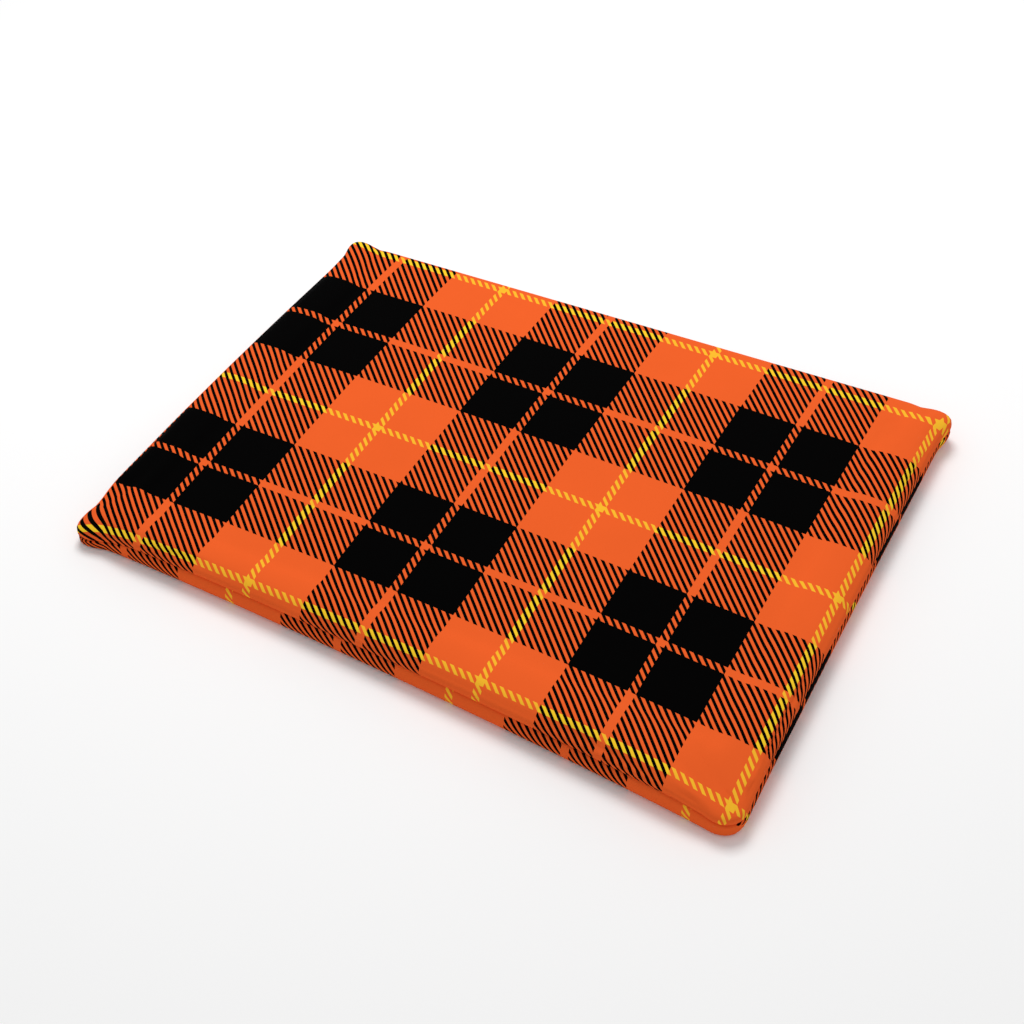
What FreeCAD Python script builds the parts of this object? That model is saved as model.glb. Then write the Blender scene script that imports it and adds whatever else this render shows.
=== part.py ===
"""Flat padded pet mat: a printed two-panel cover with a back-edge zip, and a removable insert.

Millimetres, +Z up.  The origin is the centre of the mat's flat underside, +X runs along the
long side and +Y points to the back edge, which holds the zip.
"""
import FreeCAD, Part
import math
import os

V = FreeCAD.Vector

# ---- the mat -----------------------------------------------------------------------------
LENGTH = 610.0            # outside, along X (24 in)
WIDTH = 457.0             # outside, along Y (18 in)
THICKNESS = 30.0          # outside, at the middle
CORNER_RADIUS = 22.0      # of the outline, seen from above
BOTTOM_ROLL = 5.0         # how the bottom panel turns up from the floor
SEAM_HEIGHT = 17.0        # the seam between the panels, above the floor

# ---- cover cloth and its seam ------------------------------------------------------------
CLOTH = 0.8               # woven printed polyester
SEAM_ALLOWANCE = 8.0      # turned inwards, one layer from each panel
SEAM_THREAD_INSET = 1.2   # stitching row, from the inside of the wall
SEAM_THREAD = 0.5         # laid width of the thread
THREAD_RISE = 0.35        # how proud a row of stitches stands

# ---- zip ---------------------------------------------------------------------------------
ZIP_SETBACK = 51.0        # from each short side of the mat to the end stop
ZIP_WINDOW_PLAY = 0.9     # between the slider and each panel edge
ZIP_WINDOW_END = 5.0      # gap past each end stop
TAPE = 0.6                # tape thickness
TAPE_WIDTH = 12.0         # one tape, up the wall and on round the roll
TAPE_GAP = 2.0            # between the two tapes, under the coils
TAPE_END = 12.0           # tape past each end stop
TAPE_STITCH_OFFSET = 1.5  # from the edge of the window to the stitching row
STRAIGHT_WALL = 2.0       # flat wall above the window, before the top panel rolls over
COIL_WIDTH = 2.1          # one coil, across
COIL_THICKNESS = 1.6      # out from the face of the tape
STOP_LENGTH = 2.4
STOP_WIDTH = 2.2
STOP_WRAP = 0.5           # metal behind the tape
BOTTOM_STOP_LENGTH = 3.2
BAR_TACK_WIDTH = 2.0
BAR_TACK_OVERLAP = 1.5    # past each edge of the window
BAR_TACK_SETBACK = 1.0    # from the end of the window

# ---- slider and pull ---------------------------------------------------------------------
SLIDER_LENGTH = 10.5
SLIDER_PLATE = 0.8
SLIDER_RAIL = 1.3         # lip beside the coils
SLIDER_PLAY = 0.2         # between slider and chain, all round
SLIDER_MARGIN = 0.3       # to each stop, at the ends of the travel
DIAMOND_WIDTH = 1.6       # wedge that parts the coils
DIAMOND_LENGTH = 5.4
DIAMOND_SETBACK = 0.5     # from the nose of the slider
CROWN_WIDTH = 1.8
CROWN_PLATE = 0.9
CROWN_POST = 1.2
PULL_THICKNESS = 1.2
PULL_LENGTH = 22.0        # hinge to tip
PULL_WIDTH = 6.5
PULL_HOLE = 3.0           # hole near the tip
PULL_PLAY = 0.2           # round the hinge bar and beside the crown

# ---- insert ------------------------------------------------------------------------------
INSERT_CLEARANCE = 0.5    # from the cover's seam allowance
LINER = 0.4
LINER_ALLOWANCE = 6.0     # overlocked edge, turned outwards
LINER_SEAM_BELOW = 2.0    # liner seam, below the cover's seam
OVERLOCK_WIDTH = 2.5
OVERLOCK_RISE = 0.3
BATTING = 6.0             # one layer of wadding

# ---- derived -----------------------------------------------------------------------------
BACK = WIDTH / 2                                    # outside face of the back wall
ZIP_LENGTH = LENGTH - 2 * ZIP_SETBACK               # stop to stop
SLIDER_HALF = COIL_WIDTH + SLIDER_PLAY + SLIDER_RAIL
WINDOW_TOP = SEAM_HEIGHT + SLIDER_HALF + ZIP_WINDOW_PLAY
WINDOW_BOTTOM = SEAM_HEIGHT - SLIDER_HALF - ZIP_WINDOW_PLAY
TOP_ROLL = THICKNESS - WINDOW_TOP - STRAIGHT_WALL   # how the top panel rolls over the edge
WINDOW_HALF = ZIP_LENGTH / 2 + ZIP_WINDOW_END
TAPE_HALF = ZIP_LENGTH / 2 + TAPE_END
TAPE_FACE = BACK - CLOTH                            # outer face of the tapes
COIL_FACE = TAPE_FACE + COIL_THICKNESS
INSERT_INSET = CLOTH + SEAM_ALLOWANCE + INSERT_CLEARANCE
LINER_SEAM = SEAM_HEIGHT - LINER_SEAM_BELOW
SLIDER_X = -ZIP_LENGTH / 2 + STOP_LENGTH + SLIDER_MARGIN + SLIDER_LENGTH / 2   # zip closed
SLIDER_OUTER = COIL_FACE + SLIDER_PLAY              # inner face of the outer plate
SLIDER_INNER = TAPE_FACE - TAPE - SLIDER_PLAY       # outer face of the inner plate
HINGE_Y = SLIDER_OUTER + SLIDER_PLATE + PULL_PLAY + PULL_THICKNESS / 2
TRAVEL = ZIP_LENGTH - STOP_LENGTH - BOTTOM_STOP_LENGTH - SLIDER_LENGTH - 2 * SLIDER_MARGIN


def box(x0, x1, y0, y1, z0, z1):
    """A block between two corners."""
    return Part.makeBox(x1 - x0, y1 - y0, z1 - z0, V(x0, y0, z0))


def outline(inset, z):
    """The mat's outline as a face at height z, drawn in by inset."""
    x, y = LENGTH / 2 - inset, WIDTH / 2 - inset
    r = CORNER_RADIUS - inset
    edges = []
    for sx, sy in ((1, 1), (-1, 1), (-1, -1), (1, -1)):
        corner = V(sx * (x - r), sy * (y - r), z)
        side, end = V(sx * x, sy * (y - r), z), V(sx * (x - r), sy * y, z)
        middle = corner + V(sx, sy, 0).normalize() * r
        start, stop = (side, end) if sx * sy > 0 else (end, side)
        if edges:
            edges.append(Part.LineSegment(edges[-1].lastVertex().Point, start).toShape())
        edges.append(Part.Arc(start, middle, stop).toShape())
    first = edges[0].firstVertex().Point
    edges.append(Part.LineSegment(edges[-1].lastVertex().Point, first).toShape())
    return Part.Face(Part.Wire(edges))


def slab(inset, z0, z1):
    """An upright block with the mat's outline."""
    return outline(inset, z0).extrude(V(0, 0, z1 - z0))


def pillow(inset, face_inset):
    """The mat's rounded outer form, inset at the sides and on its two faces."""
    z0, z1 = face_inset, THICKNESS - face_inset
    body = slab(inset, z0, z1)
    for height, radius in ((z1, TOP_ROLL - face_inset), (z0, BOTTOM_ROLL - face_inset)):
        rim = [e for e in body.Edges if abs(e.BoundBox.ZMin - height) < 1e-6
               and abs(e.BoundBox.ZMax - height) < 1e-6]
        body = body.makeFillet(radius, rim)
    return body


def layer(inset, thickness):
    """A skin of the given thickness that follows the mat's form, inset all round."""
    return pillow(inset, inset).cut(pillow(inset + thickness, inset + thickness))


def band(z0, z1):
    """Everything between two heights."""
    return box(-LENGTH, LENGTH, -WIDTH, WIDTH, z0, z1)


def ring(inset0, inset1, z0, z1):
    """A flat strip that follows the outline."""
    return slab(inset0, z0, z1).cut(slab(inset1, z0, z1))


def window(half_length, z0, z1, depth):
    """The space of the zip opening in the back wall."""
    return box(-half_length, half_length, BACK - depth, BACK + CLOTH, z0, z1)


# ---- cover -------------------------------------------------------------------------------
def cover_panel(top):
    """One printed panel with its seam allowance, open along the zip."""
    skin = layer(0.0, CLOTH)
    if top:
        skin = skin.common(band(SEAM_HEIGHT, THICKNESS + CLOTH))
        allowance = (SEAM_HEIGHT, SEAM_HEIGHT + CLOTH)
        gap = (SEAM_HEIGHT - CLOTH, WINDOW_TOP)
    else:
        skin = skin.common(band(-CLOTH, SEAM_HEIGHT))
        allowance = (SEAM_HEIGHT - CLOTH, SEAM_HEIGHT)
        gap = (WINDOW_BOTTOM, SEAM_HEIGHT + CLOTH)
    flange = ring(CLOTH, CLOTH + SEAM_ALLOWANCE, *allowance)
    flange = flange.cut(window(TAPE_HALF, *allowance, CLOTH + SEAM_ALLOWANCE + CLOTH))
    skin = skin.cut(window(WINDOW_HALF, *gap, 2 * CLOTH))
    return skin.fuse(flange).removeSplitter()


def seam_stitching():
    """The two thread lines of the lockstitch, on the faces of the seam allowances."""
    inner = CLOTH + SEAM_THREAD_INSET
    needle = ring(inner, inner + SEAM_THREAD, SEAM_HEIGHT + CLOTH, SEAM_HEIGHT + CLOTH + THREAD_RISE)
    bobbin = ring(inner, inner + SEAM_THREAD, SEAM_HEIGHT - CLOTH - THREAD_RISE, SEAM_HEIGHT - CLOTH)
    gap = window(TAPE_HALF, 0, THICKNESS, 2 * inner)
    return Part.makeCompound([needle.cut(gap), bobbin.cut(gap)])


# ---- zip ---------------------------------------------------------------------------------
def zip_tape(upper):
    """One tape, lying against the inside of the cover, up the wall and round the roll."""
    way, wall_end, roll = (1, THICKNESS - TOP_ROLL, TOP_ROLL) if upper else (-1, BOTTOM_ROLL, BOTTOM_ROLL)
    inner = SEAM_HEIGHT + way * TAPE_GAP / 2
    radius = roll - CLOTH
    past_wall = TAPE_WIDTH - abs(wall_end - inner)
    turn = past_wall / radius
    if turn < math.pi / 2:
        edge = wall_end + way * radius * math.sin(turn)
        depth = roll
    else:
        edge = wall_end + way * roll
        depth = roll + past_wall - radius * math.pi / 2
    return layer(CLOTH, TAPE).common(window(TAPE_HALF, *sorted((inner, edge)), depth))


def zip_coil(upper):
    """One coil's envelope, from the diamond of the closed slider to the bottom stop."""
    start = SLIDER_X - SLIDER_LENGTH / 2 + DIAMOND_SETBACK + DIAMOND_LENGTH + SLIDER_PLAY
    stop = ZIP_LENGTH / 2 - BOTTOM_STOP_LENGTH
    z = (SEAM_HEIGHT, SEAM_HEIGHT + COIL_WIDTH) if upper else (SEAM_HEIGHT - COIL_WIDTH, SEAM_HEIGHT)
    return box(start, stop, TAPE_FACE, COIL_FACE, *z)


def zip_top_stop(upper, tape):
    """A metal clip crimped round the inner edge of one tape, at the closed end."""
    near, far = TAPE_GAP / 2 - SLIDER_PLAY, TAPE_GAP / 2 - SLIDER_PLAY + STOP_WIDTH
    z = (SEAM_HEIGHT + near, SEAM_HEIGHT + far) if upper else (SEAM_HEIGHT - far, SEAM_HEIGHT - near)
    x = -ZIP_LENGTH / 2
    return box(x, x + STOP_LENGTH, TAPE_FACE - TAPE - STOP_WRAP, COIL_FACE, *z).cut(tape)


def zip_bottom_stop(tapes):
    """The clip across both tapes at the open end."""
    x = ZIP_LENGTH / 2
    block = box(x - BOTTOM_STOP_LENGTH, x, TAPE_FACE - TAPE - STOP_WRAP, COIL_FACE + STOP_WRAP,
                SEAM_HEIGHT - STOP_WIDTH, SEAM_HEIGHT + STOP_WIDTH)
    for tape in tapes:
        block = block.cut(tape)
    return block


def tape_stitching(upper):
    """The row of stitches that holds a tape to its panel, on the outside of the wall."""
    offset = TAPE_STITCH_OFFSET
    z = WINDOW_TOP + offset if upper else WINDOW_BOTTOM - offset
    return box(-WINDOW_HALF, WINDOW_HALF, BACK, BACK + THREAD_RISE,
               z - SEAM_THREAD / 2, z + SEAM_THREAD / 2)


def bar_tack(side):
    """The dense tack across one end of the zip opening."""
    x = side * (WINDOW_HALF + BAR_TACK_SETBACK + BAR_TACK_WIDTH / 2)
    return box(x - BAR_TACK_WIDTH / 2, x + BAR_TACK_WIDTH / 2, BACK, BACK + THREAD_RISE,
               WINDOW_BOTTOM - BAR_TACK_OVERLAP, WINDOW_TOP + BAR_TACK_OVERLAP)


def zip_slider_body():
    """The cast slider: two plates, side lips, the diamond between them and the crown."""
    x0, x1 = SLIDER_X - SLIDER_LENGTH / 2, SLIDER_X + SLIDER_LENGTH / 2
    z0, z1 = SEAM_HEIGHT - SLIDER_HALF, SEAM_HEIGHT + SLIDER_HALF
    outer = box(x0, x1, SLIDER_OUTER, SLIDER_OUTER + SLIDER_PLATE, z0, z1)
    inner = box(x0, x1, SLIDER_INNER - SLIDER_PLATE, SLIDER_INNER, z0, z1)
    plates = []
    for plate in (outer, inner):
        upright = [e for e in plate.Edges if e.BoundBox.YLength > SLIDER_PLATE / 2]
        plates.append(plate.makeFillet(SLIDER_RAIL, upright))
    lip_face = TAPE_FACE + SLIDER_PLAY
    lips = [box(x0 + SLIDER_RAIL, x1 - SLIDER_RAIL, lip_face, SLIDER_OUTER + SLIDER_PLATE / 2,
                SEAM_HEIGHT + s, SEAM_HEIGHT + s + SLIDER_RAIL)
            for s in (-SLIDER_HALF, SLIDER_HALF - SLIDER_RAIL)]
    nose = x0 + DIAMOND_SETBACK
    points = [V(nose, 0, SEAM_HEIGHT - DIAMOND_WIDTH / 2), V(nose, 0, SEAM_HEIGHT + DIAMOND_WIDTH / 2),
              V(nose + DIAMOND_LENGTH / 2, 0, SEAM_HEIGHT + DIAMOND_WIDTH / 2),
              V(nose + DIAMOND_LENGTH, 0, SEAM_HEIGHT),
              V(nose + DIAMOND_LENGTH / 2, 0, SEAM_HEIGHT - DIAMOND_WIDTH / 2)]
    depth = SLIDER_PLATE / 2
    diamond = Part.Face(Part.makePolygon(points + points[:1]))
    diamond.translate(V(0, SLIDER_INNER - depth, 0))
    diamond = diamond.extrude(V(0, SLIDER_OUTER - SLIDER_INNER + 2 * depth, 0))
    bridge = HINGE_Y + PULL_THICKNESS / 2 + PULL_PLAY
    reach = PULL_THICKNESS / 2 + PULL_PLAY
    w = CROWN_WIDTH / 2
    crown = [box(SLIDER_X + s * reach - (CROWN_POST if s < 0 else 0),
                 SLIDER_X + s * reach + (CROWN_POST if s > 0 else 0),
                 SLIDER_OUTER + depth, bridge + CROWN_PLATE, SEAM_HEIGHT - w, SEAM_HEIGHT + w)
             for s in (-1, 1)]
    crown.append(box(SLIDER_X - reach - CROWN_POST, SLIDER_X + reach + CROWN_POST,
                     bridge, bridge + CROWN_PLATE, SEAM_HEIGHT - w, SEAM_HEIGHT + w))
    return plates[0].multiFuse(plates[1:] + lips + [diamond] + crown).removeSplitter()


def zip_pull_tab():
    """The pull: a hinge bar under the crown, two arms and a flat tab, lying towards +X."""
    arm0 = CROWN_WIDTH / 2 + PULL_PLAY
    half = PULL_WIDTH / 2
    t = PULL_THICKNESS / 2
    crown_corner = math.hypot(t + PULL_PLAY + CROWN_POST, t + PULL_PLAY + CROWN_PLATE)
    clear = crown_corner + PULL_PLAY
    hinge = V(SLIDER_X, HINGE_Y, SEAM_HEIGHT - half)
    bar = Part.makeCylinder(t, PULL_WIDTH, hinge, V(0, 0, 1))
    arms = [box(SLIDER_X, SLIDER_X + clear + t, HINGE_Y - t, HINGE_Y + t,
                SEAM_HEIGHT + a, SEAM_HEIGHT + b) for a, b in ((arm0, half), (-half, -arm0))]
    tip = SLIDER_X + PULL_LENGTH
    tab = box(SLIDER_X + clear, tip, HINGE_Y - t, HINGE_Y + t, SEAM_HEIGHT - half, SEAM_HEIGHT + half)
    corners = [e for e in tab.Edges if e.BoundBox.YLength > t and e.BoundBox.XMin > tip - t]
    tab = tab.makeFillet(0.9 * half, corners)
    hole = Part.makeCylinder(PULL_HOLE / 2, PULL_WIDTH, V(tip - half, HINGE_Y - half, SEAM_HEIGHT),
                             V(0, 1, 0))
    return bar.multiFuse(arms + [tab]).cut(hole).removeSplitter()


# ---- insert ------------------------------------------------------------------------------
def insert_layer(start, thickness):
    """A skin of the insert, counted from the outside of its liner."""
    outside = pillow(INSERT_INSET + start, CLOTH + start)
    return outside.cut(pillow(INSERT_INSET + start + thickness, CLOTH + start + thickness))


def liner(top):
    """One casing panel with its overlocked edge turned outwards."""
    skin = insert_layer(0.0, LINER)
    z0, z1 = (LINER_SEAM, LINER_SEAM + LINER) if top else (LINER_SEAM - LINER, LINER_SEAM)
    skin = skin.common(band(LINER_SEAM, THICKNESS) if top else band(0, LINER_SEAM))
    edge = ring(INSERT_INSET - LINER_ALLOWANCE, INSERT_INSET, z0, z1)
    return skin.fuse(edge).removeSplitter()


def liner_stitching():
    """The overlock along the liner's edge, on both faces."""
    edge = INSERT_INSET - LINER_ALLOWANCE
    lines = []
    for z0 in (LINER_SEAM + LINER, LINER_SEAM - LINER - OVERLOCK_RISE):
        lines.append(ring(edge, edge + OVERLOCK_WIDTH, z0, z0 + OVERLOCK_RISE))
    return Part.makeCompound(lines)


def filling(z0, z1):
    """A slice of the space inside the liner."""
    return pillow(INSERT_INSET + LINER, CLOTH + LINER).common(band(z0, z1))


tape_upper, tape_lower = zip_tape(True), zip_tape(False)
fill_bottom, fill_top = CLOTH + LINER, THICKNESS - CLOTH - LINER

nodes = {
    "cover_top_panel": cover_panel(True),
    "cover_bottom_panel": cover_panel(False),
    "seam_stitching": seam_stitching(),
    "zip_tape_upper": tape_upper,
    "zip_tape_lower": tape_lower,
    "zip_coil_upper": zip_coil(True),
    "zip_coil_lower": zip_coil(False),
    "zip_top_stop_upper": zip_top_stop(True, tape_upper),
    "zip_top_stop_lower": zip_top_stop(False, tape_lower),
    "zip_bottom_stop": zip_bottom_stop([tape_upper, tape_lower]),
    "zip_stitching_upper": tape_stitching(True),
    "zip_stitching_lower": tape_stitching(False),
    "bar_tack_left": bar_tack(-1),
    "bar_tack_right": bar_tack(1),
    "zip_slider_body": zip_slider_body(),
    "zip_pull_tab": zip_pull_tab(),
    "liner_top": liner(True),
    "liner_bottom": liner(False),
    "liner_stitching": liner_stitching(),
    "batting_bottom": filling(fill_bottom, fill_bottom + BATTING),
    "foam_core": filling(fill_bottom + BATTING, fill_top - BATTING),
    "batting_top": filling(fill_top - BATTING, fill_top),
}

os.makedirs("parts", exist_ok=True)
for name, shape in nodes.items():
    shape.exportStep(f"parts/{name}.step")
    b = shape.BoundBox
    print(f"{name:20s} solids {len(shape.Solids)} valid {shape.isValid()} volume {shape.Volume:12.1f}"
          f"  x {b.XMin:8.2f} {b.XMax:8.2f}  y {b.YMin:8.2f} {b.YMax:8.2f}  z {b.ZMin:6.2f} {b.ZMax:6.2f}")
print(f"slider travel {TRAVEL:.1f}, hinge at x {SLIDER_X:.2f}, y {HINGE_Y:.2f}, z {SEAM_HEIGHT:.2f}")
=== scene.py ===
"""A flat, padded pet mat: a tartan-printed cover with a back-edge zip, over a wadded insert."""
import math
import bmesh
import bpy
import numpy as np
from mathutils import Matrix, Vector, noise


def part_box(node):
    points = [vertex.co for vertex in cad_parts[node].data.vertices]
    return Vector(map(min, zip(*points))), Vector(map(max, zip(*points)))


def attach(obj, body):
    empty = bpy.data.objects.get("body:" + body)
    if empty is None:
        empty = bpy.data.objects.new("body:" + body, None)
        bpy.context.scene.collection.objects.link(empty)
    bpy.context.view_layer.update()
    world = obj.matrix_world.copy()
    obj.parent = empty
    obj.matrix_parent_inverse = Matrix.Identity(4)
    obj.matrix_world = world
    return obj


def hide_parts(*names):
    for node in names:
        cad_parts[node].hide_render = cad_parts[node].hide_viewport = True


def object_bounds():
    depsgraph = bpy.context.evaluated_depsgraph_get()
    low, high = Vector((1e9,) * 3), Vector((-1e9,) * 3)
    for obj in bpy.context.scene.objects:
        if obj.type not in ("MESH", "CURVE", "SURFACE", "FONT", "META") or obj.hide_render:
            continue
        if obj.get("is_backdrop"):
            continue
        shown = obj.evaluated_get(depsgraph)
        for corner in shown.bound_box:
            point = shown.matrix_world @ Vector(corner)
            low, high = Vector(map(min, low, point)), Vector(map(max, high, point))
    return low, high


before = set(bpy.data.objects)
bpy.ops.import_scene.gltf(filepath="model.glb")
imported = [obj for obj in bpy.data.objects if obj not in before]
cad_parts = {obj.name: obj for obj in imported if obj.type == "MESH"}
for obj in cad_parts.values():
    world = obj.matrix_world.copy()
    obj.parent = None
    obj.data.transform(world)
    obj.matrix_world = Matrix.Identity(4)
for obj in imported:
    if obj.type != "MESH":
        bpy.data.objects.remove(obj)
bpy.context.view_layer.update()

# ------------------------------------------------------------------------------------------
# Foam core: one sheet of cream polyether foam, die-cut to the insert's outline.
# It lies loose between the two waddings and gives the mat its thickness.
# The mat that it fills is no true block, so the shape that it settles into comes first.
# ------------------------------------------------------------------------------------------
HALF_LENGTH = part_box("cover_top_panel")[1][0]
HALF_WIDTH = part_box("cover_top_panel")[1][1]
SEAM_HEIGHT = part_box("cover_top_panel")[0][2]
MAT_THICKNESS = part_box("cover_top_panel")[1][2]
ZIP_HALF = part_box("zip_tape_upper")[1][0]
MAT_CORNER = 0.022               # the corner radius before the corners are drawn out
FRONT_DRAW = 0.0068              # the long front edge draws in between its corners
FRONT_SLANT = 0.0120             # and further back at its left end than at its right
LEFT_BOW = 0.0040                # the short left edge bows out
LEFT_SLANT = -0.0040             # how far it leans, and the same for the right edge
RIGHT_BOW = -0.0016
RIGHT_SLANT = 0.0033
BACK_TUCK = 0.0015               # the back corners stand behind the straight zip
RIM_SINK = 0.0020                # the upper face falls away towards the rim
CROWN = 0.0012                   # and stands a little high in the middle
SINK_FROM = 0.0220               # only what lies above this height sinks or stands high
CORNER_REACH = 0.060             # from the corner: how far in it is felt in height
POINT_REACH = 0.029              # and how far in its point is drawn out
# each corner: how far its seam drops, how far its top drops, how far it pokes out
CORNER_SHAPE = {
    (-1, -1): (0.0105, 0.0065, 0.0085),
    (1, -1): (0.0050, 0.0060, 0.0010),
    (-1, 1): (-0.0005, -0.0035, 0.0080),
    (1, 1): (0.0030, 0.0015, 0.0080),
}


def smooth_step(x):
    t = np.clip(x, 0, 1)
    return t * t * (3 - 2 * t)


def settle(points):
    """Moves points of the true block to where they lie in the stuffed mat."""
    p = np.array(points, dtype=float)
    x, y, z = p[:, 0].copy(), p[:, 1].copy(), p[:, 2].copy()
    u, v = np.clip(x / HALF_LENGTH, -1, 1), np.clip(y / HALF_WIDTH, -1, 1)
    ahead = (1 - v) / 2
    p[:, 1] += (FRONT_DRAW * (1 - u ** 2) - FRONT_SLANT * u) * ahead
    p[:, 0] += (LEFT_SLANT * v - LEFT_BOW * (1 - v ** 2)) * (1 - u) / 2
    p[:, 0] += (RIGHT_SLANT * v + RIGHT_BOW * (1 - v ** 2)) * (1 + u) / 2
    past_zip = smooth_step((np.abs(x) - ZIP_HALF - 0.001) / (HALF_LENGTH - ZIP_HALF))
    p[:, 1] -= BACK_TUCK * past_zip * smooth_step((v - 0.6) / 0.4)
    dome = (1 - np.abs(u) ** 4) * (1 - np.abs(v) ** 4)
    high = smooth_step((z - SINK_FROM) / (MAT_THICKNESS - SINK_FROM))
    p[:, 2] += ((RIM_SINK + CROWN) * dome - RIM_SINK) * high
    behind = smooth_step((v - 0.7) / 0.3)
    for (sx, sy), (seam_drop, top_drop, poke) in CORNER_SHAPE.items():
        away = np.hypot(x - sx * HALF_LENGTH, y - sy * HALF_WIDTH) / CORNER_REACH
        near = np.clip(1 - away ** 2, 0, 1) ** 2
        if sy > 0:
            near *= 1 - behind * (1 - past_zip)
        low_part = np.clip(z / SEAM_HEIGHT, 0, 1)
        high_part = np.clip((z - SEAM_HEIGHT) / (MAT_THICKNESS - SEAM_HEIGHT), 0, 1)
        p[:, 2] -= near * (seam_drop * low_part + (top_drop - seam_drop) * high_part)
        tip = np.clip(1 - (away * CORNER_REACH / POINT_REACH) ** 2, 0, 1) ** 2
        p[:, 0] += sx * poke * tip
        p[:, 1] += sy * poke * tip
    return p


def cushion_layout(half_x, half_y, corner, rows, step, fan):
    """A rounded rectangle as a core grid and rays that run out from the core's rim.

    Gives each point's anchor on the core, its direction, its row (-1 on the core) and its ray,
    then the faces, which face +Z, and the number of rays.
    """
    core_x, core_y = half_x - corner, half_y - corner
    nx, ny = round(2 * core_x / step), round(2 * core_y / step)
    xs, ys = np.linspace(-core_x, core_x, nx + 1), np.linspace(-core_y, core_y, ny + 1)
    anchors = [(x, y) for y in ys for x in xs]
    ways, row_of, ray_of = [(0.0, 0.0)] * len(anchors), [-1] * len(anchors), [-1] * len(anchors)
    wide = nx + 1
    faces = [(j * wide + i, j * wide + i + 1, (j + 1) * wide + i + 1, (j + 1) * wide + i)
             for j in range(ny) for i in range(nx)]
    front, right = list(range(wide)), [j * wide + nx for j in range(ny + 1)]
    back, left = [ny * wide + i for i in range(nx, -1, -1)], [j * wide for j in range(ny, -1, -1)]
    rays = []
    for side, angle in ((front, -90), (right, 0), (back, 90), (left, 180)):
        rays += [(start, angle) for start in side]
        rays += [(side[-1], angle + 90 * k / fan) for k in range(1, fan)]
    first = len(anchors)
    for number, (start, angle) in enumerate(rays):
        way = (math.cos(math.radians(angle)), math.sin(math.radians(angle)))
        for row in range(rows):
            anchors.append(anchors[start])
            ways.append(way)
            row_of.append(row)
            ray_of.append(number)
    for number, (start, _) in enumerate(rays):
        following = (number + 1) % len(rays)
        here, there, other = first + number * rows, first + following * rows, rays[following][0]
        faces.append((start, here, there) if start == other else (start, here, there, other))
        faces += [(here + k, here + k + 1, there + k + 1, there + k) for k in range(rows - 1)]
    return (np.array(anchors), np.array(ways), np.array(row_of), np.array(ray_of), faces, len(rays))


def placed(name, mesh):
    """A mesh as an object in the scene."""
    piece = bpy.data.objects.new(name, mesh)
    bpy.context.scene.collection.objects.link(piece)
    return piece


def applied(piece):
    """Leaves what a piece's modifiers make of it as its plain mesh."""
    finished = bpy.data.meshes.new_from_object(piece.evaluated_get(bpy.context.evaluated_depsgraph_get()))
    piece.modifiers.clear()
    piece.data = finished
    return piece


def mesh_object(name, points, faces, flat=None):
    """A smooth-shaded mesh object; flat is its cut in metres, kept as the UV map "cut"."""
    mesh = bpy.data.meshes.new(name)
    mesh.from_pydata([tuple(p) for p in points], [], faces)
    mesh.polygons.foreach_set("use_smooth", [True] * len(mesh.polygons))
    if flat is not None:
        corners = np.empty(len(mesh.loops), dtype=np.int32)
        mesh.loops.foreach_get("vertex_index", corners)
        cut = mesh.uv_layers.new(name="cut")
        cut.data.foreach_set("uv", np.asarray(flat)[corners].astype(np.float32).ravel())
    mesh.update()
    return placed(name, mesh)


def rolled_section(corner, across, drop, face, way, wall_end, wall_rows):
    """A half section from the core's rim out: plan distances and heights.

    It rolls over an arc that is across wide and drop high, then runs up or down a wall.
    way is -1 where the sheet rolls down from an upper face, and 1 where it rolls up.
    """
    start = corner - across
    turn = np.radians(np.linspace(0, 90, 8))[1:]
    plan = list(np.linspace(0, start, 4)[1:]) + list(start + across * np.sin(turn))
    height = [face] * 3 + list(face + way * drop * (1 - np.cos(turn)))
    for share in np.linspace(0, 1, wall_rows + 1)[1:]:
        plan.append(corner)
        height.append(face + way * drop + (wall_end - face - way * drop) * share)
    return plan, height


def soft_slab(name, node, corner, roll_top, roll_bottom, step, fuzz, fuzz_size):
    """A closed soft slab that fills a node's box, rolled at the rims, with an uneven surface."""
    low, high = Vector(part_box(node)[0]), Vector(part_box(node)[1])
    meet = (high.z - roll_top + low.z + roll_bottom) / 2
    halves = []
    for roll, face, way in ((roll_top, high.z, -1), (roll_bottom, low.z, 1)):
        plan, height = rolled_section(corner, min(1.8 * roll, corner), roll, face, way, meet, 2)
        anchors, ways, row, ray, faces, _ = cushion_layout(high.x, high.y, corner, len(plan), step, 6)
        spread = np.where(ray < 0, 0.0, np.array(plan)[row])
        z = np.where(ray < 0, face, np.array(height)[row])
        halves.append((np.column_stack([anchors + ways * spread[:, None], z]), faces, row == len(plan) - 1))
    (top, top_faces, rim), (under, under_faces, _) = halves
    kept = np.flatnonzero(~rim)
    number = np.zeros(len(under), dtype=int)
    number[rim] = np.flatnonzero(rim)
    number[kept] = len(top) + np.arange(len(kept))
    faces = top_faces + [tuple(int(number[v]) for v in reversed(f)) for f in under_faces]
    points = np.vstack([top, under[kept]])
    for index, p in enumerate(points):
        dent = abs(noise.fractal(Vector(p) / fuzz_size, 0.6, 2.1, 3)) * fuzz
        points[index, 2] += -dent if p[2] > meet else dent
    return mesh_object(name, settle(points), faces)


def new_material(name, colour, roughness):
    """A new material with its nodes, its links and its surface shader."""
    material = bpy.data.materials.new(name)
    material.use_nodes = True
    nodes, links = material.node_tree.nodes, material.node_tree.links
    shader = nodes["Principled BSDF"]
    shader.inputs["Base Color"].default_value = (*colour, 1.0)
    shader.inputs["Roughness"].default_value = roughness
    return material, nodes, links, shader


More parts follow.
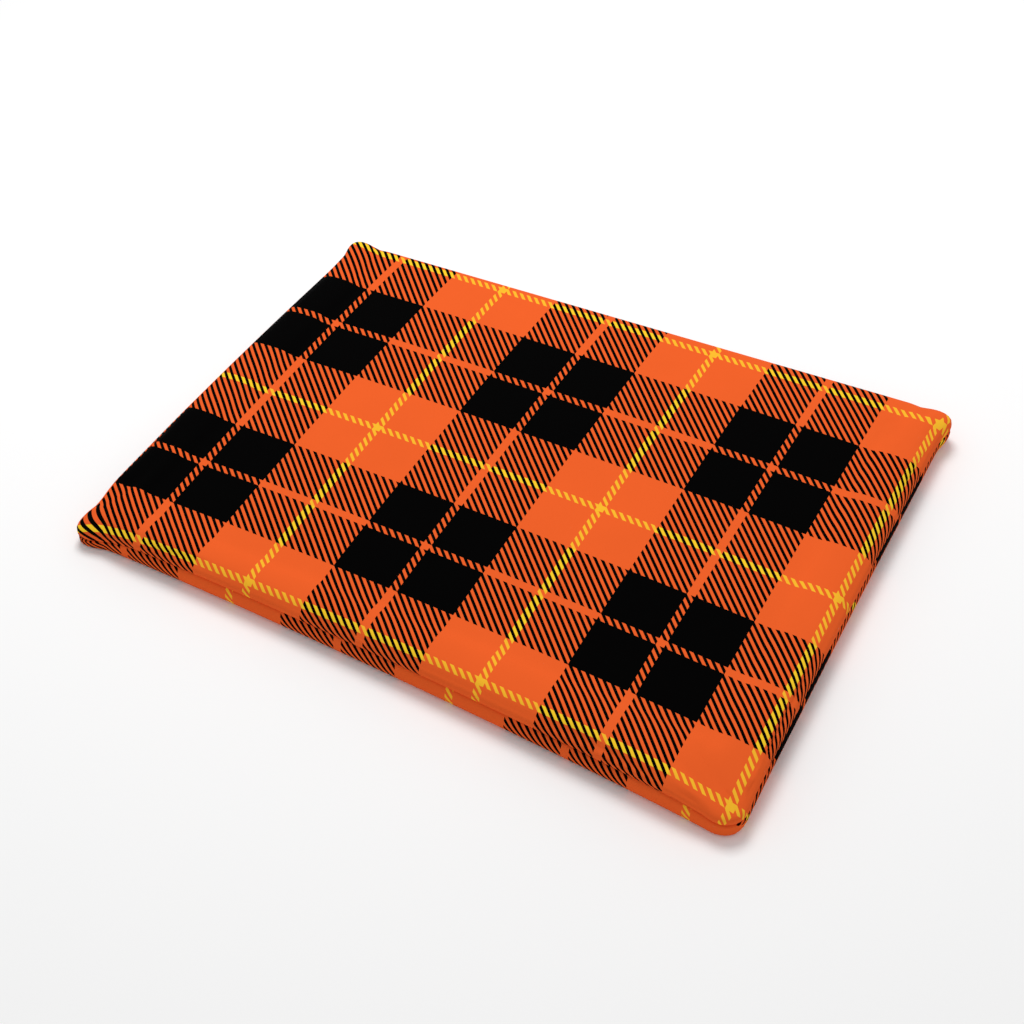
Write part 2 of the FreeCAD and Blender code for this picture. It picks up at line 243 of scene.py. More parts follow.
def raise_surface(nodes, links, shader, height, strength, distance):
    """Drives the shader's normal from a height output."""
    bump = nodes.new("ShaderNodeBump")
    bump.inputs["Strength"].default_value = strength
    bump.inputs["Distance"].default_value = distance
    links.new(height, bump.inputs["Height"])
    links.new(bump.outputs["Normal"], shader.inputs["Normal"])


def shade_between(nodes, links, shader, factor, dark, light):
    """Colours the surface between two shades by a factor output."""
    ramp = nodes.new("ShaderNodeValToRGB")
    ramp.color_ramp.elements[0].color = (*dark, 1.0)
    ramp.color_ramp.elements[1].color = (*light, 1.0)
    links.new(factor, ramp.inputs["Fac"])
    links.new(ramp.outputs["Color"], shader.inputs["Base Color"])


FOAM_CORNER = 0.0123
FOAM_CELL = 0.0011
foam_material, nodes, links, shader = new_material("cream_foam", (0.80, 0.70, 0.46), 0.95)
where = nodes.new("ShaderNodeTexCoord")
cells = nodes.new("ShaderNodeTexVoronoi")
cells.inputs["Scale"].default_value = 1 / FOAM_CELL
links.new(where.outputs["Object"], cells.inputs["Vector"])
shade_between(nodes, links, shader, cells.outputs["Distance"], (0.52, 0.43, 0.25), (0.84, 0.75, 0.52))
raise_surface(nodes, links, shader, cells.outputs["Distance"], 0.6, 0.0004)
foam = soft_slab("foam_sheet", "foam_core", FOAM_CORNER, 0.0010, 0.0010, 0.008, 0.0002, 0.02)
foam.data.materials.append(foam_material)
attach(foam, "mat")
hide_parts("foam_core")

# ------------------------------------------------------------------------------------------
# Wadding: two layers of white bonded polyester fibre, one over and one under the foam.
# Each is cut with shears to the same outline, so the rims are soft and a little uneven.
# ------------------------------------------------------------------------------------------
FIBRE = 0.0016
wadding_material, nodes, links, shader = new_material("white_wadding", (0.86, 0.86, 0.85), 1.0)
shader.inputs["Sheen Weight"].default_value = 0.3
where = nodes.new("ShaderNodeTexCoord")
stretch = nodes.new("ShaderNodeMapping")
stretch.inputs["Scale"].default_value = (1.0, 0.35, 1.0)
fibres = nodes.new("ShaderNodeTexNoise")
fibres.inputs["Scale"].default_value = 1 / FIBRE
fibres.inputs["Detail"].default_value = 5.0
fibres.inputs["Distortion"].default_value = 1.6
links.new(where.outputs["Object"], stretch.inputs["Vector"])
links.new(stretch.outputs["Vector"], fibres.inputs["Vector"])
shade_between(nodes, links, shader, fibres.outputs["Fac"], (0.70, 0.70, 0.69), (0.92, 0.92, 0.91))
raise_surface(nodes, links, shader, fibres.outputs["Fac"], 0.7, 0.0008)
for node, roll_top, roll_bottom in (("batting_top", 0.0054, 0.0004), ("batting_bottom", 0.0004, 0.0054)):
    wadding = soft_slab(node + "_fleece", node, FOAM_CORNER, roll_top, roll_bottom, 0.006, 0.0006, 0.012)
    wadding.data.materials.append(wadding_material)
    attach(wadding, "mat")
    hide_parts(node)

# ------------------------------------------------------------------------------------------
# Liner: a plain white polycotton casing that keeps the wadding together when the cover is off.
# Two panels, each turned out at the rim into a flat edge, and overlocked together there.
# ------------------------------------------------------------------------------------------
LINER_CLOTH = 0.0004
LINER_EDGE = 0.0060
LINER_CORNER = 0.0127
OVERLOCK_PITCH = 0.0028
OVERLOCK_BITE = 0.0025
LINER_THREAD = 0.00016
liner_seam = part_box("liner_top")[0][2]
liner_half_x, liner_half_y = (edge - LINER_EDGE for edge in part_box("liner_top")[1][:2])


def lay_out(half_x, half_y, corner, plan, height, face, step, fan):
    """A sheet from its half section: its points, its flat cut and its faces."""
    plan, height = np.array(plan), np.array(height)
    along = np.cumsum(np.hypot(np.diff(plan, prepend=0.0), np.diff(height, prepend=face)))
    anchors, ways, row, ray, faces, _ = cushion_layout(half_x, half_y, corner, len(plan), step, fan)
    spread = np.where(ray < 0, 0.0, plan[row])
    points = np.column_stack([anchors + ways * spread[:, None], np.where(ray < 0, face, height[row])])
    flat = anchors + ways * np.where(ray < 0, 0.0, along[row])[:, None]
    return points, flat, faces


def thicken(piece, thickness):
    """Gives a sheet its thickness, inwards, as a plain mesh."""
    solid = piece.modifiers.new("thickness", "SOLIDIFY")
    solid.thickness = thickness
    solid.offset = -1.0
    applied(piece)


def weave(nodes, links, shader, thread, strength, distance):
    """A plain weave over the flat cut: two crossed rows of threads, a little uneven."""
    cut = nodes.new("ShaderNodeUVMap")
    cut.uv_map = "cut"
    waves = []
    for direction in ("X", "Y"):
        wave = nodes.new("ShaderNodeTexWave")
        wave.wave_type = "BANDS"
        wave.bands_direction = direction
        wave.inputs["Scale"].default_value = 0.314 / thread
        wave.inputs["Distortion"].default_value = 0.15
        wave.inputs["Detail"].default_value = 1.0
        links.new(cut.outputs["UV"], wave.inputs["Vector"])
        waves.append(wave.outputs["Fac"])
    checks = nodes.new("ShaderNodeTexChecker")
    checks.inputs["Scale"].default_value = 1 / thread
    checks.inputs["Color1"].default_value = (1, 1, 1, 1)
    checks.inputs["Color2"].default_value = (0, 0, 0, 1)
    links.new(cut.outputs["UV"], checks.inputs["Vector"])
    crossing = nodes.new("ShaderNodeMix")
    links.new(checks.outputs["Fac"], crossing.inputs["Factor"])
    links.new(waves[0], crossing.inputs["A"])
    links.new(waves[1], crossing.inputs["B"])
    raise_surface(nodes, links, shader, crossing.outputs["Result"], strength, distance)
    return cut.outputs["UV"]


liner_material, nodes, links, shader = new_material("liner_polycotton", (0.88, 0.88, 0.86), 0.85)
shader.inputs["Sheen Weight"].default_value = 0.15
weave(nodes, links, shader, 0.00045, 0.4, 0.0002)
for node, face, way, roll in (("liner_top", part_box("liner_top")[1][2], -1, 0.0066),
                              ("liner_bottom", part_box("liner_bottom")[0][2], 1, 0.0060)):
    near_seam = liner_seam - way * 0.0001
    plan, height = rolled_section(LINER_CORNER, 0.95 * LINER_CORNER, roll, face, way, near_seam, 3)
    for out in (LINER_EDGE / 3, 2 * LINER_EDGE / 3, LINER_EDGE):
        plan.append(LINER_CORNER + out)
        height.append(near_seam)
    points, flat, faces = lay_out(
        liner_half_x, liner_half_y, LINER_CORNER, plan, height, face, 0.009, 6)
    if way > 0:
        faces = [tuple(reversed(f)) for f in faces]
    casing = mesh_object(node + "_cloth", settle(points), faces, flat)
    thicken(casing, LINER_CLOTH)
    casing.data.materials.append(liner_material)
    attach(casing, "mat")
    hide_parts(node)


def thread_material(name, colour):
    """Spun polyester thread: two plies twisted round each other, with a soft shine."""
    material, nodes, links, shader = new_material(name, colour, 0.55)
    shader.inputs["Sheen Weight"].default_value = 0.25
    where = nodes.new("ShaderNodeTexCoord")
    twist = nodes.new("ShaderNodeTexWave")
    twist.bands_direction = "DIAGONAL"
    twist.inputs["Scale"].default_value = 900.0
    twist.inputs["Distortion"].default_value = 0.4
    links.new(where.outputs["Object"], twist.inputs["Vector"])
    dark = tuple(0.72 * channel for channel in colour)
    shade_between(nodes, links, shader, twist.outputs["Fac"], dark, colour)
    raise_surface(nodes, links, shader, twist.outputs["Fac"], 0.5, 0.0001)
    return material


def tree_with(name, inputs):
    """A geometry tree with named inputs: the tree, its group input and its group output."""
    tree = bpy.data.node_groups.new(name, "GeometryNodeTree")
    tree.interface.new_socket("Geometry", in_out="INPUT", socket_type="NodeSocketGeometry")
    for socket, kind in inputs:
        tree.interface.new_socket(socket, in_out="INPUT", socket_type=kind)
    tree.interface.new_socket("Geometry", in_out="OUTPUT", socket_type="NodeSocketGeometry")
    return tree, tree.nodes.new("NodeGroupInput"), tree.nodes.new("NodeGroupOutput")


def grown(piece, tree, settings):
    """Runs a geometry tree on a piece and leaves its result as the piece's plain mesh."""
    modifier = piece.modifiers.new("grown", "NODES")
    modifier.node_group = tree
    for item in tree.interface.items_tree:
        if item.in_out == "INPUT" and item.name in settings:
            modifier[item.identifier] = settings[item.name]
    return applied(piece)


FLOAT, INTEGER, MATERIAL = "NodeSocketFloat", "NodeSocketInt", "NodeSocketMaterial"
stitch_tree, given, result = tree_with("stitch_row", [
    ("Pitch", FLOAT), ("Stitch length", FLOAT), ("Thread radius", FLOAT), ("Arch", FLOAT),
    ("Slant", FLOAT), ("Swing", FLOAT), ("Seed", INTEGER), ("Thread", MATERIAL)])


def node_in(tree, kind, **properties):
    node = tree.nodes.new(kind)
    for key, value in properties.items():
        setattr(node, key, value)
    return node


def wire(tree, *links):
    """Links to (node, input) from (node, output) or from an output itself, in one tuple."""
    for *source, node, socket in links:
        tree.links.new(source[0].outputs[source[1]] if len(source) == 2 else source[0], node.inputs[socket])


def sum_of(tree, operation, first, second):
    """A maths node in a tree; a number is set, an output is linked."""
    node = node_in(tree, "ShaderNodeMath", operation=operation)
    for socket, value in zip(node.inputs, (first, second)):
        if isinstance(value, (int, float)):
            socket.default_value = value
        else:
            tree.links.new(value, socket)
    return node.outputs[0]


row = node_in(stitch_tree, "GeometryNodeMeshToCurve")
spaced = node_in(stitch_tree, "GeometryNodeResampleCurve", mode="LENGTH")
spots = node_in(stitch_tree, "GeometryNodeCurveToPoints", mode="EVALUATED")
out_way = node_in(stitch_tree, "GeometryNodeInputNamedAttribute", data_type="FLOAT_VECTOR")
out_way.inputs["Name"].default_value = "out"
along_row = node_in(stitch_tree, "FunctionNodeAlignRotationToVector", axis="X")
stand_out = node_in(stitch_tree, "FunctionNodeAlignRotationToVector", axis="Z", pivot_axis="X")
half = sum_of(stitch_tree, "MULTIPLY", given.outputs["Stitch length"], 0.5)
dip = sum_of(stitch_tree, "MULTIPLY", given.outputs["Arch"], -1.0)
lift = sum_of(stitch_tree, "MULTIPLY", given.outputs["Arch"], 2.0)
ends = [node_in(stitch_tree, "ShaderNodeCombineXYZ") for _ in range(3)]
arch = node_in(stitch_tree, "GeometryNodeCurveQuadraticBezier")
arch.inputs["Resolution"].default_value = 5
round_thread = node_in(stitch_tree, "GeometryNodeCurvePrimitiveCircle", mode="RADIUS")
round_thread.inputs["Resolution"].default_value = 5
stitch = node_in(stitch_tree, "GeometryNodeCurveToMesh")
stitch.inputs["Fill Caps"].default_value = True
smooth = node_in(stitch_tree, "GeometryNodeSetShadeSmooth")
sewn_in = node_in(stitch_tree, "GeometryNodeInstanceOnPoints")
count = node_in(stitch_tree, "GeometryNodeInputIndex")
odd = sum_of(stitch_tree, "MODULO", count.outputs[0], 2.0)
side = sum_of(stitch_tree, "SUBTRACT", sum_of(stitch_tree, "MULTIPLY", odd, 2.0), 1.0)
turn = sum_of(stitch_tree, "ADD", given.outputs["Slant"],
              sum_of(stitch_tree, "MULTIPLY", side, given.outputs["Swing"]))
uneven = node_in(stitch_tree, "FunctionNodeRandomValue", data_type="FLOAT")
uneven.inputs[2].default_value = -0.06
uneven.inputs[3].default_value = 0.06
turn = sum_of(stitch_tree, "ADD", turn, uneven.outputs[1])
spin = node_in(stitch_tree, "ShaderNodeCombineXYZ")
turned = node_in(stitch_tree, "FunctionNodeRotateRotation", rotation_space="LOCAL")
real = node_in(stitch_tree, "GeometryNodeRealizeInstances")
threaded = node_in(stitch_tree, "GeometryNodeSetMaterial")
wire(stitch_tree,
     (given, "Geometry", row, "Mesh"), (row, "Curve", spaced, "Curve"),
     (given, "Pitch", spaced, "Length"), (spaced, "Curve", spots, "Curve"),
     (sum_of(stitch_tree, "MULTIPLY", half, -1.0), ends[0], "X"), (dip, ends[0], "Z"),
     (lift, ends[1], "Z"), (half, ends[2], "X"), (dip, ends[2], "Z"), (ends[0], 0, arch, "Start"),
     (ends[1], 0, arch, "Middle"), (ends[2], 0, arch, "End"),
     (given, "Thread radius", round_thread, "Radius"), (arch, "Curve", stitch, "Curve"),
     (round_thread, "Curve", stitch, "Profile Curve"), (stitch, "Mesh", smooth, "Geometry"),
     (smooth, "Geometry", sewn_in, "Instance"), (spots, "Tangent", along_row, "Vector"),
     (along_row, 0, stand_out, "Rotation"), (out_way, "Attribute", stand_out, "Vector"),
     (given, "Seed", uneven, "Seed"), (turn, spin, "Z"), (stand_out, 0, turned, "Rotation"),
     (spin, 0, turned, "Rotate By"), (turned, 0, sewn_in, "Rotation"),
     (spots, "Points", sewn_in, "Points"), (sewn_in, 0, real, 0), (real, 0, threaded, "Geometry"),
     (given, "Thread", threaded, "Material"), (threaded, "Geometry", result, "Geometry"))


def sew(name, rows, pitch, length, radius, arch_height, slant, swing, seed, thread):
    """Rows of separate stitches along paths; a row is its points, its outward ways, closed or not."""
    points, edges, out = [], [], []
    for path, outward, closed in rows:
        first = len(points)
        points += [tuple(p) for p in path]
        out += [tuple(w) for w in outward]
        edges += [(first + k, first + k + 1) for k in range(len(path) - 1)]
        if closed:
            edges.append((len(points) - 1, first))
    mesh = bpy.data.meshes.new(name)
    mesh.from_pydata(points, edges, [])
    stored = mesh.attributes.new("out", "FLOAT_VECTOR", "POINT")
    stored.data.foreach_set("vector", np.array(out, dtype=np.float32).ravel())
    return grown(placed(name, mesh), stitch_tree, {
        "Pitch": pitch, "Stitch length": length, "Thread radius": radius, "Arch": arch_height,
        "Slant": slant, "Swing": swing, "Seed": seed, "Thread": thread})


def rim_path(half_x, half_y, corner, height, step):
    """Points round the outline at one height, in the settled mat."""
    path = []
    for sx, sy, angle in ((1, -1, -90), (1, 1, 0), (-1, 1, 90), (-1, -1, 180)):
        cx, cy = sx * (half_x - corner), sy * (half_y - corner)
        for k in range(7):
            way = math.radians(angle + 15 * k)
            path.append(Vector((cx + corner * math.cos(way), cy + corner * math.sin(way), height)))
    fine = []
    for k, here in enumerate(path):
        there = path[(k + 1) % len(path)]
        parts = max(1, round((there - here).length / step))
        fine += [here.lerp(there, part / parts) for part in range(parts)]
    return settle(fine)


white_thread = thread_material("white_thread", (0.86, 0.86, 0.84))
overlock_rows = []
for face, way in ((liner_seam + LINER_CLOTH, 1), (liner_seam - LINER_CLOTH, -1)):
    inset = LINER_EDGE - OVERLOCK_BITE / 2
    path = rim_path(liner_half_x + inset, liner_half_y + inset, LINER_CORNER + inset, face, 0.01)
    overlock_rows.append((path, [(0, 0, way)] * len(path), True))
overlock = sew("liner_overlock", overlock_rows, OVERLOCK_PITCH / 2, OVERLOCK_BITE, LINER_THREAD,
               0.00012, math.radians(90), math.radians(24), 3, white_thread)
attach(overlock, "mat")
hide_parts("liner_stitching")

# ------------------------------------------------------------------------------------------
# Cover: two panels of woven polyester, printed with the same tartan, sewn face to face and
# turned, so their allowances lie inside and the seam runs round the side, open at the zip.
# Each is cut to the mat's outline plus what its rolled rim, its wall and its allowance take.
# ------------------------------------------------------------------------------------------
TOP_ROLL = 0.0065                # at the zip, where the tapes hold the wall upright
UNDER_ROLL = 0.0050
SIDE_TURN, SIDE_TUCK = 0.0055, 0.0110    # at the ends the upper panel turns over, the lower tucks in
FRONT_TURN, FRONT_TUCK = 0.0120, 0.0030  # in front it eases over more and the lower stands up
MOST_ROLL = 0.80                 # the roll leaves a little wall, so that no edge has no length
SEAM_GROOVE = 0.0022             # how far the two panels turn in at the seam
SOFT_GROOVE = 0.0028             # and in front, where it is not pulled tight
ZIP_EASE = 0.016                 # how far past the tapes the tight wall slackens
FRONT_BLEND = 1.4                # how fast the end's section becomes the front's round a corner
COVER_CLOTH = 0.0008
COVER_ALLOWANCE = 0.0080
COVER_GRID = 0.0042
CORNER_FAN = 9
ZIP_EDGE_RISE = 0.0045           # from the seam's height to each panel's edge at the zip
zip_edge_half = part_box("zip_stitching_upper")[1][0]


def at_zip(x):
    """1 along the zip opening, 0 past its ends."""
    return smooth_step((zip_edge_half + 0.0015 - np.abs(x)) / 0.004)


def cover_section(top, across, drop, groove):
    """The cover's half section: rolled rim, wall and the turn into the seam."""
    way = -1 if top else 1
    face = MAT_THICKNESS if top else 0.0
    turn_at = SEAM_HEIGHT - way * groove
    drop = min(drop, MOST_ROLL * abs(turn_at - face))
    plan, height = rolled_section(MAT_CORNER, across, drop, face, way, turn_at, 2 if top else 4)
    for angle in np.radians((22.5, 45, 67.5, 90)):
        plan.append(MAT_CORNER - groove * (1 - math.cos(angle)))
        height.append(turn_at + way * groove * math.sin(angle))
    plan, height = np.array(plan), np.array(height)
    along = np.cumsum(np.hypot(np.diff(plan, prepend=0.0), np.diff(height, prepend=face)))
    return plan, height, along


def cover_cut(top):
    """One panel before it is stuffed; along the zip its last rows stop at the panel's edge."""
    face = MAT_THICKNESS if top else 0.0
    tight = cover_section(top, *((TOP_ROLL, TOP_ROLL) if top else (UNDER_ROLL, UNDER_ROLL)), SEAM_GROOVE)
    soft = cover_section(top, SIDE_TURN if top else SIDE_TUCK, 1.0, SEAM_GROOVE)
    front = cover_section(top, FRONT_TURN if top else FRONT_TUCK, 1.0 if top else 0.005, SOFT_GROOVE)
    rows = len(tight[0])
    anchors, ways, row, ray, faces, count = cushion_layout(
        HALF_LENGTH, HALF_WIDTH, MAT_CORNER, rows, COVER_GRID, CORNER_FAN)
    forward = smooth_step(-FRONT_BLEND * ways[:, 1])
    slack = smooth_step((ZIP_HALF + ZIP_EASE - np.abs(anchors[:, 0])) / ZIP_EASE)
    held = np.where(ways[:, 1] > 0.99, slack, 0.0)
    mixed = []
    for part in range(3):
        open_side = soft[part][row] * (1 - forward) + front[part][row] * forward
        mixed.append(np.where(ray < 0, 0.0, open_side * (1 - held) + tight[part][row] * held))
    spread, z, along = mixed
    points = np.column_stack([anchors + ways * spread[:, None], np.where(ray < 0, face, z)])
    flat = anchors + ways * along[:, None]
    last, wall = rows - 1, 9
    share = np.where((ways[:, 1] > 0.99) & (ray >= 0), at_zip(anchors[:, 0]), 0.0)
    edge = SEAM_HEIGHT + (ZIP_EDGE_RISE if top else -ZIP_EDGE_RISE)
    down = np.clip((row - wall) / (last - wall), 0, 1)
    straight = tight[1][wall] + (edge - tight[1][wall]) * down
    near = np.where(row >= wall, share, 0.0)
    points[:, 2] = points[:, 2] * (1 - near) + straight * near
    points[:, 1] = points[:, 1] * (1 - near) + HALF_WIDTH * near
    return points, flat, ways, row, ray, faces, count, last, share


top_points, top_flat, top_ways, top_row, top_ray, top_faces, rays, top_last, top_share = cover_cut(True)
low_points, low_flat, low_ways, low_row, low_ray, low_faces, _, low_last, low_share = cover_cut(False)
top_points, low_points = settle(top_points), settle(low_points)

# The two panels joined along the seam, to be blown up a little by the wadding.
top_rim = np.flatnonzero(top_row == top_last)
seam_of_ray = np.zeros(rays, dtype=int)
seam_of_ray[top_ray[top_rim]] = top_rim
sewn = (low_row == low_last) & (low_share == 0)
low_number = np.zeros(len(low_points), dtype=int)
low_number[sewn] = seam_of_ray[low_ray[sewn]]
low_number[~sewn] = len(top_points) + np.arange(np.count_nonzero(~sewn))
stuffed = np.vstack([top_points, low_points[~sewn]])
stuffed_faces = top_faces + [tuple(int(low_number[v]) for v in reversed(f)) for f in low_faces]

STUFFING = 2.4                   # how hard the wadding presses
STILL_FROM = 0.030               # from the rim: the cloth begins to lie still on the wadding
STILL_BY = 0.080                 # and by here it does
OUT_LIMIT = 0.0035               # the most that the cloth may move out, and in
IN_LIMIT = 0.0012
PAST_TAPE, TAPE_FADE = 0.010, 0.006      # the cloth is held on past the end of the tapes
LEAST_MOVE = 0.0002              # a simulation that moves the rim by less has not run
SEWN_HOLD = 0.85                 # how much the doubled allowances hold the seam back
EASE = 0.022                     # extra length of cloth, which puckers beside the seam
EASE_REACH = 0.035               # from the rim: how far in that extra length is spread
ON_FLOOR = 0.0010                # cloth below this height rests on the floor
STUFFING_FRAMES = 16


def stuff(rest, faces, sewn):
    """Blows the sewn cover up against its seam: a cloth simulation with pressure inside."""
    shell = mesh_object("stuffing", rest, faces)
    inward = np.minimum(HALF_LENGTH - np.abs(rest[:, 0]), HALF_WIDTH - np.abs(rest[:, 1]))
    hold = smooth_step((inward - STILL_FROM) / (STILL_BY - STILL_FROM))
    on_floor = (rest[:, 2] < ON_FLOOR).astype(float)
    along_tape = smooth_step((ZIP_HALF + PAST_TAPE - np.abs(rest[:, 0])) / TAPE_FADE)
    beside_zip = along_tape * smooth_step((rest[:, 1] - HALF_WIDTH + 0.040) / 0.02)
    held = np.clip(np.maximum.reduce([hold, on_floor, beside_zip, SEWN_HOLD * sewn]), 0, 1)
    group = shell.vertex_groups.new(name="held")
    levels = np.round(held, 2)
    for level in np.unique(levels):
        group.add([int(i) for i in np.flatnonzero(levels == level)], float(level), "REPLACE")
    loose = shell.vertex_groups.new(name="loose")
    ease = np.round(np.exp(-(inward / EASE_REACH) ** 2) * (1 - beside_zip), 2)
    for level in np.unique(ease):
        loose.add([int(i) for i in np.flatnonzero(ease == level)], float(level), "REPLACE")
    cloth = shell.modifiers.new("cloth", "CLOTH")
    cloth.settings.quality = 5
    cloth.settings.mass = 0.15
    cloth.settings.tension_stiffness = 15
    cloth.settings.compression_stiffness = 15
    cloth.settings.shear_stiffness = 5
    cloth.settings.bending_stiffness = 0.1
    cloth.settings.shrink_min = 0.0
    cloth.settings.shrink_max = -EASE
    cloth.settings.vertex_group_shrink = "loose"
    cloth.settings.use_pressure = True
    cloth.settings.uniform_pressure_force = STUFFING
    cloth.settings.vertex_group_mass = "held"
    cloth.settings.effector_weights.gravity = 0.0
    cloth.collision_settings.use_collision = False
    cloth.point_cache.frame_start = 1
    cloth.point_cache.frame_end = STUFFING_FRAMES
    for moment in range(1, STUFFING_FRAMES + 1):
        bpy.context.scene.frame_set(moment)
    blown = np.empty(len(rest) * 3)
    shell.evaluated_get(bpy.context.evaluated_depsgraph_get()).data.vertices.foreach_get("co", blown)
    normals = np.empty(len(rest) * 3)
    shell.data.vertices.foreach_get("normal", normals)
    normals = normals.reshape(-1, 3)
    move = blown.reshape(-1, 3) - rest
    if np.percentile(np.linalg.norm(move, axis=1), 99) < LEAST_MOVE:
        raise RuntimeError("the stuffing simulation did not move the cover")
    out = (move * normals).sum(axis=1)
    limited = np.where(out > 0, OUT_LIMIT * np.tanh(out / OUT_LIMIT), IN_LIMIT * np.tanh(out / IN_LIMIT))
    aside = move - normals * out[:, None]
    far = np.linalg.norm(aside, axis=1)
    aside *= (OUT_LIMIT * np.tanh(far / OUT_LIMIT) / np.maximum(far, 1e-9))[:, None]
    finished = rest + normals * limited[:, None] + aside
    finished[:, 2] = np.maximum(finished[:, 2], 0.0)
    bpy.context.scene.frame_set(1)
    bpy.data.objects.remove(shell)
    return finished


at_seam = np.zeros(len(stuffed))
at_seam[np.flatnonzero(top_row == top_last)] = 1.0
stuffed = stuff(stuffed, stuffed_faces, at_seam)
top_points, low_points = stuffed[:len(top_points)], stuffed[low_number]


def finished_panel(name, points, flat, ways, row, faces, last, share, top):
    """A stuffed panel with its allowance turned in at the seam, and its thickness."""
    rim = np.flatnonzero(row == last)
    points, flat, faces = list(points), list(flat), list(faces)
    before = rim
    for inset in (0.0020, 0.0050, COVER_ALLOWANCE):
        following = np.arange(len(rim)) + len(points)
        for start in rim:
            step_in = ways[start] * inset
            points.append((points[start][0] - step_in[0], points[start][1] - step_in[1],
                           points[start][2] + (0.00005 if top else -0.00005)))
            flat.append(flat[start] + step_in)
        for index in range(len(rim)):
            after = (index + 1) % len(rim)
            if share[rim[index]] < 0.02 and share[rim[after]] < 0.02:
                faces.append((int(before[index]), int(following[index]),
                              int(following[after]), int(before[after])))
        before = following
    if not top:
        faces = [tuple(reversed(f)) for f in faces]
    used = sorted({v for f in faces for v in f})
    number = {v: k for k, v in enumerate(used)}
    piece = mesh_object(name, [points[v] for v in used],
                        [tuple(number[v] for v in f) for f in faces], [flat[v] for v in used])
    thicken(piece, COVER_CLOTH)
    return piece


TARTAN_REPEAT = 0.2173           # metres from one repeat of the print to the next
TWILL_LINES = 29                 # diagonal lines in one repeat
FINE_STRIPE = 0.033              # widths in repeats
BLACK_BAND = 0.520
TOP_ORIGIN = (1.075, 0.579)      # the place in the print where the middle of the panel falls
TOP_STRETCH = (0.70, -1.35)      # the print closes up to the right and to the front
TOP_SKEW = (-0.215, 0.340)       # and its lines fan out a little towards the corners
UNDER_ORIGIN = (1.178, 0.487)
UNDER_STRETCH = (0.70, 0.0)
UNDER_REPEAT = 0.2085
ORANGE = (0.838, 0.117, 0.022)
BLACK = (0.0006, 0.0005, 0.0005)
YELLOW = (0.930, 0.600, 0.026)
AMBER = (0.920, 0.480, 0.028)


def printed_cloth(name):
    """Woven polyester with the printed tartan: crossing stripes mixed by a printed twill."""
    material, nodes, links, shader = new_material(name, ORANGE, 0.88)
    shader.inputs["Specular IOR Level"].default_value = 0.02
    uv = weave(nodes, links, shader, 0.00060, 0.22, 0.0002)
    tree = material.node_tree
    place = nodes.new("ShaderNodeUVMap")
    place.uv_map = "print"
    split = nodes.new("ShaderNodeSeparateXYZ")
    links.new(place.outputs["UV"], split.inputs["Vector"])

    def within(position, width):
        """1 where a position lies within half a width of the middle of its repeat."""
        node = node_in(tree, "ShaderNodeMath", operation="COMPARE")
        node.inputs[1].default_value = 0.5
        node.inputs[2].default_value = width / 2
        links.new(sum_of(tree, "FRACT", position, 0.0), node.inputs[0])
        return node.outputs[0]

    def blend(factor, first, second):
        node = node_in(tree, "ShaderNodeMix", data_type="RGBA")
        links.new(factor, node.inputs["Factor"])
        for socket, value in zip([s for s in node.inputs if s.type == "RGBA"], (first, second)):
            if isinstance(value, tuple):
                socket.default_value = (*value, 1.0)
            else:
                links.new(value, socket)
        return [s for s in node.outputs if s.type == "RGBA"][0]

    dark, gold = {}, {}
    for axis in ("X", "Y"):
        position = split.outputs[axis]
        shifted = sum_of(tree, "ADD", position, 0.5)
        dark[axis] = sum_of(tree, "SUBTRACT", within(shifted, BLACK_BAND), within(shifted, FINE_STRIPE))
        gold[axis] = within(position, FINE_STRIPE)
    threads = {axis: blend(gold[axis], blend(dark[axis], ORANGE, BLACK), blend(dark[other], AMBER, YELLOW))
               for axis, other in (("X", "Y"), ("Y", "X"))}
    diagonal = sum_of(tree, "MULTIPLY", sum_of(tree, "ADD", split.outputs["X"], split.outputs["Y"]),
                      TWILL_LINES)
    over = sum_of(tree, "GREATER_THAN", sum_of(tree, "FRACT", diagonal, 0.0), 0.5)
    print_colour = blend(over, threads["X"], threads["Y"])
    cloudy = nodes.new("ShaderNodeTexNoise")
    cloudy.inputs["Scale"].default_value = 14.0
    cloudy.inputs["Detail"].default_value = 3.0
    links.new(uv, cloudy.inputs["Vector"])
    fade = nodes.new("ShaderNodeMapRange")
    fade.inputs["To Min"].default_value = 0.95
    fade.inputs["To Max"].default_value = 1.04
    links.new(cloudy.outputs["Fac"], fade.inputs["Value"])
    uneven = nodes.new("ShaderNodeHueSaturation")
    wire(tree,
         (fade, "Result", uneven, "Value"), (print_colour, uneven, "Color"),
         (uneven, "Color", shader, "Base Color"))
    return material


def lay_print(piece, origin, repeat, turned_over, stretch, skew):
    """Stores the place in the print, in repeats, as a second UV map."""
    cut = piece.data.uv_layers["cut"]
    flat = np.empty(len(piece.data.loops) * 2, dtype=np.float32)
    cut.data.foreach_get("uv", flat)
    flat = flat.reshape(-1, 2)
    if turned_over:
        flat = flat * (1, -1)
    across = flat[:, :1] * flat[:, 1:]
    printed = np.array(origin) + flat / repeat + np.array(stretch) * flat ** 2 + np.array(skew) * across
    piece.data.uv_layers.new(name="print").data.foreach_set("uv", printed.astype(np.float32).ravel())


